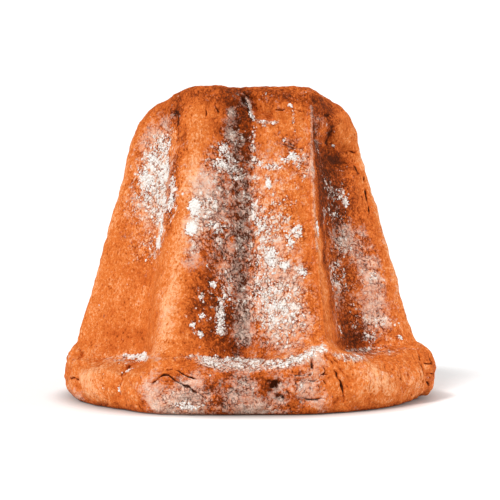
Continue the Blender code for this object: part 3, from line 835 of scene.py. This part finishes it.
# Patches of darker crust: turn, height, half sizes round and up, amount (below 0 is paler).
TOAST = (
    # the crown, and deep under its loose skin
    (-5, 173, 4, 7, 0.44), (-2.2, 176.5, 1.4, 3, 0.8), (-0.2, 172.5, 1.7, 3.6, 0.9),
    (0.9, 167.5, 2.0, 4, 0.8), (-1.5, 158, 2.6, 7, 0.5), (-8, 175, 5, 5, 0.35),
    (-14, 181, 16, 6, 0.22), (18, 179, 11, 7, 0.34),
    # the left shoulder
    (-38, 172, 8, 9, 0.24), (-36.5, 170, 4, 2.6, 0.45), (-33.5, 163, 1.6, 4.5, 0.45),
    (-29, 152, 4, 8, 0.26), (-12.5, 158, 4, 7, 0.22),
    # the right-hand valley
    (38, 176, 12, 7, 0.4), (45, 167, 7, 8, 0.24), (33, 158, 5, 9, 0.65), (41, 163, 4, 7, -0.1),
    (48, 161, 3, 6, 0.6), (40, 148, 12, 8, 0.4), (53, 147, 8, 7, 0.5), (60, 141, 3, 4, 0.2),
    (34, 132, 10, 18, 0.6), (46, 125, 12, 17, 0.5), (30, 112, 5, 14, 0.5), (30, 80, 5, 34, 0.38),
    (46, 100, 14, 30, 0.24), (40, 62, 14, 24, 0.22), (46, 42, 15, 12, 0.32), (58, 90, 8, 34, 0.14),
    # the middle valley, and small places beside it
    (-7, 150, 8, 22, 0.45), (-2.5, 105, 5, 62, 0.7), (-13, 125, 8, 28, 0.26), (-12, 90, 7, 22, 0.3),
    (-16, 66, 7, 20, 0.26), (-9, 48, 13, 18, 0.46), (2, 34, 14, 5, 0.25), (-2.5, 45, 4, 14, 0.3),
    (21.3, 75, 2.4, 26, 0.1), (20.5, 150, 5.5, 4.5, 0.26),
    # mostly the lip
    (64, 20, 4, 12, 0.22), (14, 171, 9, 3.5, -0.06), (7, 14, 5, 6, 0.28), (-4, 14, 24, 11, 0.26),
    (43, 36, 15, 5, 0.46), (-4, 11, 26, 9, 0.1), (14, 20, 6, 9, 0.16), (-17, 20, 7, 5, 0.16),
    (-33, 126, 4, 22, 0.3), (-50, 40, 22, 4, 0.12),
    # paler places
    (12, 125, 9, 36, -0.1), (-24, 130, 5, 30, -0.14), (-26, 55, 6, 26, -0.22),
    (66, 100, 4, 70, -0.1), (36, 16, 14, 12, -0.26), (54, 16, 12, 11, -0.16),
    (-50, 17, 24, 15, -0.2),
)
PLAIN_TOAST = 0.40
VALLEY_TOAST = 0.30  # added in the hidden valleys
RIDGE_TOAST = -0.10  # on all the ridges
CROWN_TOAST = 0.16
FOOT_TOAST = 0.25


def toast_amount(skin):
    """How dark the crust is, PLAIN_TOAST where it is plain golden brown."""
    drifting = skin.wandering(14, 3.0, seed=23.0)
    amount = patched(drifting, PLAIN_TOAST, TOAST)
    for turn in HIDDEN_VALLEYS:
        amount += VALLEY_TOAST * drifting.patch(turn, 110, 9, 70)
    for turn in RIDGE_TURNS:
        amount += RIDGE_TOAST * skin.patch(turn, 105, 4.5, 70, 4)
    amount += CROWN_TOAST * eased(skin.z, 160 * MM, 184 * MM)
    amount += FOOT_TOAST * (1 - eased(skin.z, 0, 5 * MM))
    return np.clip(amount, 0, 1)


# ------------------------ materials

PALE_CRUST = (0.82, 0.405, 0.20)
GOLDEN_CRUST = (0.66, 0.176, 0.034)
RUSTY_CRUST = (0.54, 0.112, 0.017)
BROWN_CRUST = (0.27, 0.042, 0.004)
# the darkest toast, and also the painted shade deep in the splits and hollows
BURNT_CRUST_AND_SHADE = (0.085, 0.018, 0.005)
SUGAR_WHITE = (0.86, 0.82, 0.77)
SUGAR_THIN = (0.77, 0.62, 0.515)
FILM_HIDES = 0.66  # how much of the crust the thickest film hides
SUGAR_HIDES = 0.94


def crust_material():
    """Baked crust, browner where it is toasted, with painted shade in its hollows and splits, under a
    film and dust of sugar.
    """
    m = Shader("crust_with_sugar", Specular_IOR_Level=0.05)
    toast = m.attribute("toast")
    hollow_shade = m.attribute("hollow_shade")
    split_shade = m.attribute("split_shade")
    sugar = m.attribute("sugar")
    soaked = m.attribute("film")

    broad = m.sway(24, detail=2, roughness=0.5)
    blotch = m.sway(6.0, detail=2, roughness=0.5)
    crumpled = m.sway(2.6, detail=2, roughness=0.6, place=m.stretched(1.3))
    grain = m.sway(1.3, detail=2, roughness=0.7, place=m.stretched(1.3))
    fine = m.sway(0.75, detail=2, roughness=0.6)
    pore = 1 - m.cells(2.2, place=m.stretched(1.7)).step(0.10, 0.34)
    pore = pore * m.noise(5, detail=1).step(0.40, 0.56)
    wandering = m.wavering(3, 1.2)
    curl = m.curls(2.4, 0.34, wandering) * m.noise(6, detail=1).step(0.30, 0.50)
    thread = m.curls(3.2, 0.34, wandering) * m.noise(7, detail=1).step(0.34, 0.54)
    rough = (toast * 0.7 + sugar * 1.1 + soaked * 0.2).ramp(0.32, 0.95)

    darkness = toast + broad * 0.06 + blotch * 0.06 + crumpled * (0.07 + rough * 0.14)
    darkness = darkness + grain * (0.15 + rough * 0.03) + fine * 0.12 - thread * (0.05 + rough * 0.16)
    # painted shade: the hollows get darker and the splits much darker; the pores and curls are the
    # crust's own marks
    darkness = darkness + hollow_shade * 0.24 + split_shade * 0.50 + pore * 0.30 + curl * (0.06 + rough * 0.46)
    colour = m.mix(darkness.ramp(0.08, 0.36), PALE_CRUST, GOLDEN_CRUST)
    colour = m.mix(darkness.ramp(0.36, 0.56), colour, RUSTY_CRUST)
    colour = m.mix(darkness.ramp(0.56, 0.86), colour, BROWN_CRUST)
    # burnt crust where the toast is darkest, and painted shade deep in the hollows and splits
    colour = m.mix((darkness + hollow_shade * 0.2 + split_shade * 0.2).ramp(0.86, 1.30), colour, BURNT_CRUST_AND_SHADE)

    dust = m.sway(0.95, detail=2, roughness=0.7) * 0.55 + m.sway(2.0, detail=1) * 0.40
    patchy = m.sway(4.2, detail=2, roughness=0.6)
    broken = m.sway(10, detail=2)
    flake = 1 - m.cells(3.4, place=m.stretched(1.5)).step(0.12, 0.32)
    flake = flake * (m.noise(5, detail=1) + sugar * 0.9).step(0.52, 0.66)
    film = soaked * 1.25 + dust * 0.56 + patchy * 0.34 + broken * 0.18 - 0.42 + thread * (soaked * 0.4)
    film = (film - curl * rough * 0.5 - hollow_shade * 0.2 - split_shade * 0.6).ramp(0.0, 1.0) * FILM_HIDES
    deep = dust * 0.50 + patchy * 0.34 + broken * 0.18 + sugar * 1.6 - 0.72 + flake * 0.52
    deep = deep + thread * 0.15 - curl * 0.55 - hollow_shade * 0.3 - split_shade * 0.6
    covered = deep.step(-0.20, 0.30)
    colour = m.mix(film, colour, SUGAR_THIN)
    colour = m.mix(covered * SUGAR_HIDES, colour, m.mix(deep.ramp(-0.1, 0.6), SUGAR_THIN, SUGAR_WHITE))

    height = blotch * 0.08 + crumpled * 0.10 + grain * 0.14 + fine * 0.06 - pore * 0.24
    height = height - curl * (0.10 + rough * 0.3) + thread * (0.05 + rough * 0.15)
    height = height + film * 0.12 + covered * 0.16 + deep.ramp(0.0, 0.9) * 0.3
    roughness = 0.62 + covered * 0.3 + grain * 0.05
    return m.finish(Base_Color=colour, Roughness=roughness, Normal=m.bump(height))


CLUMP_SHADES = ((0.80, 0.75, 0.70), (0.87, 0.835, 0.80))


def clump_material():
    m = Shader("icing_sugar", Roughness=0.85, Specular_IOR_Level=0.3)
    mottle = m.noise(1.2, detail=3, roughness=0.6)
    colour = m.mix(mottle.step(0.3, 0.7), *CLUMP_SHADES)
    return m.finish(Base_Color=colour, Normal=m.bump(m.noise(0.4, detail=2) * 0.1))


TABLE_WHITES = ((0.88, 0.875, 0.87), (0.895, 0.89, 0.885))
# the colour of the painted contact shadow round the cake's foot
TABLE_PAINTED_SHADOW = (0.30, 0.25, 0.22)
TABLE_GLOW = 0.30
GLOW_COLOUR = (1, 0.985, 0.98)
PAINTED_SHADOW_REACH = (104, 134)  # the table is darker this close to the axis, under and beside the lip


def table_material():
    m = Shader("white_table", Roughness=0.6, Specular_IOR_Level=0.2)
    away = m.node("VectorMath", {"operation": "LENGTH"}, {0: m.place})["Value"] * 1000
    # painted contact shadow: towards the cake's foot the table darkens and its glow fades
    beyond_painted_shadow = away.step(*PAINTED_SHADOW_REACH)
    colour = m.mix(m.noise(60, detail=2), *TABLE_WHITES)
    colour = m.mix(beyond_painted_shadow, TABLE_PAINTED_SHADOW, colour)
    glow = m.mix(beyond_painted_shadow, (0, 0, 0), GLOW_COLOUR)
    m.surface.inputs["Emission Strength"].default_value = TABLE_GLOW
    return m.finish(Base_Color=colour, Emission_Color=glow)


# ------------------------ sugar clumps

CLUMPS = 9000
CLUMP_SEED = 21
CLUMP_SIZE = 0.31  # half across, in the middle of their range
CLUMP_SPREAD = 0.50
CLUMP_RANGE = (0.16, 1.1)
CLUMP_FLATNESS = 0.55
CLUMPS_FROM = 0.30  # no clumps where there is less sugar than this


def sugar_clumps(skin, amount):
    """Small lumps of sugar, lying thickest where there is most of it."""
    bpy.ops.object.select_all(action="DESELECT")
    bpy.ops.mesh.primitive_ico_sphere_add(subdivisions=1, radius=1)
    pattern = bpy.context.object
    corners = np.array([vertex.co[:] for vertex in pattern.data.vertices])
    faces = np.array([face.vertices[:] for face in pattern.data.polygons])
    bpy.data.objects.remove(pattern)

    draw = np.random.default_rng(CLUMP_SEED)
    chance = np.clip(amount - CLUMPS_FROM, 0, None) ** 2.2 * (skin.z > 4 * MM)
    chance *= (0.3 + 0.7 * (skin.lumps(4, seed=2.0) > 0.05)) * (1 - 0.7 * on_ledge(skin))
    picked = draw.choice(len(chance), size=CLUMPS, p=chance / chance.sum())
    places = skin.points[picked] + draw.normal(0, 0.5 * MM, (CLUMPS, 3))
    ups = skin.normals[picked]
    sizes = draw.lognormal(math.log(CLUMP_SIZE), CLUMP_SPREAD, CLUMPS) * (0.7 + 0.5 * amount[picked])
    sizes = np.clip(sizes, *CLUMP_RANGE) * MM
    points, tris = [], []
    for k in range(CLUMPS):
        turned = Vector(ups[k]).to_track_quat("Z", "Y").to_matrix()
        uneven = draw.uniform(0.65, 1.25, (len(corners), 1))
        lump = corners * uneven * (1, draw.uniform(0.7, 1.2), CLUMP_FLATNESS)
        place = places[k] - ups[k] * np.dot(places[k] - skin.points[picked[k]], ups[k])
        place = place + ups[k] * sizes[k] * 0.12
        points.append(lump @ np.array(turned).T * sizes[k] + place)
        tris.append(faces + k * len(corners))
    points = np.clip(np.concatenate(points), np.array(cad_low), np.array(cad_high))
    mesh = bpy.data.meshes.new("sugar_clumps")
    mesh.from_pydata(points.tolist(), [], np.concatenate(tris).tolist())
    mesh.shade_smooth()
    mesh.materials.append(clump_material())
    piece = bpy.data.objects.new("sugar_clumps", mesh)
    bpy.context.scene.collection.objects.link(piece)
    return piece


# ------------------------ the room

CAMERA_PLACE = (0.9 * MM, -504 * MM, 58 * MM)
CAMERA_AIM = (0.9 * MM, 0, 58 * MM)
LENS = 54.5
FRAMING_SHIFT = 0.108  # the camera is level, and the cake stands in the middle of the frame
TABLE_RADIUS = 2.0
LIGHTS = {"key": (-40, 40, 2.86, 14), "right": (85, 25, 1.82, 26)}  # turn, lift, strength, spread
WHITE_SEEN = 1.15
WHITE_FILL = 0.30


def aimed(thing, place, aim):
    """Puts a camera or light at a place, turned towards its aim."""
    thing.location = place
    thing.rotation_euler = (Vector(aim) - Vector(place)).to_track_quat("-Z", "Y").to_euler()
    bpy.context.scene.collection.objects.link(thing)


def soft_light(name, turn, lift, strength, spread):
    """A broad far light that shines from a turn, lift degrees above the table."""
    data = bpy.data.lights.new(name, "SUN")
    data.energy = strength
    data.angle = math.radians(spread)
    turn, lift = math.radians(turn), math.radians(lift)
    place = Vector((math.sin(turn) * math.cos(lift), -math.cos(turn) * math.cos(lift), math.sin(lift)))
    aimed(bpy.data.objects.new(name, data), place, (0, 0, 0))


def white_surroundings():
    """White all round to look at, and a softer fill to light by."""
    world = bpy.data.worlds.new("studio")
    bpy.context.scene.world = world
    world.use_nodes = True
    nodes, links = world.node_tree.nodes, world.node_tree.links
    rays, choice = nodes.new("ShaderNodeLightPath"), nodes.new("ShaderNodeMixShader")
    links.new(rays.outputs["Is Camera Ray"], choice.inputs[0])
    whites = (nodes["Background"], WHITE_FILL), (nodes.new("ShaderNodeBackground"), WHITE_SEEN)
    for k, (white, strength) in enumerate(whites, 1):
        white.inputs["Color"].default_value = (1, 1, 1, 1)
        white.inputs["Strength"].default_value = strength
        links.new(white.outputs[0], choice.inputs[k])
    links.new(choice.outputs[0], nodes["World Output"].inputs["Surface"])


def make_room():
    camera = bpy.data.cameras.new("camera")
    camera.lens = LENS
    camera.sensor_width = 36
    camera.clip_start = 0.01
    camera.shift_y = FRAMING_SHIFT
    view = bpy.data.objects.new("camera", camera)
    aimed(view, CAMERA_PLACE, CAMERA_AIM)
    bpy.context.scene.camera = view
    bpy.ops.object.select_all(action="DESELECT")
    bpy.ops.mesh.primitive_circle_add(vertices=96, radius=TABLE_RADIUS, fill_type="NGON")
    table = bpy.context.object
    table.name = "table"
    table.data.materials.append(table_material())
    for name, light in LIGHTS.items():
        soft_light(name, *light)
    white_surroundings()
    bpy.context.scene.view_settings.view_transform = "Standard"


# ------------------------ the cake


def make_crust():
    """The finished crust, and its skin and the sugar on it for the clumps."""
    piece = merged_copy(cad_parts["pandoro"], "crust")
    remake_base(piece)
    subdivided(piece, 2)
    for reach in FINER_WITHIN:
        refine_near_tears(piece, reach)
    shape_skin(piece)
    thin_behind(piece, CRUST_TRIANGLES)
    for vertex in piece.data.vertices:
        vertex.co.z = max(vertex.co.z, cad_low[2])
    piece.data.shade_smooth()
    skin = Skin(piece.data)
    skin.upward = stored(piece, "upward")
    amount = sugar_amount(skin)
    store(piece, "sugar", amount)
    store(piece, "film", film_amount(skin))
    store(piece, "toast", toast_amount(skin))
    piece.data.materials.append(crust_material())
    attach(piece, "root")
    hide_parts("pandoro")
    return piece, skin, amount


crust, crust_skin, crust_sugar = make_crust()
clumps = sugar_clumps(crust_skin, crust_sugar)
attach(clumps, "root")
make_room()
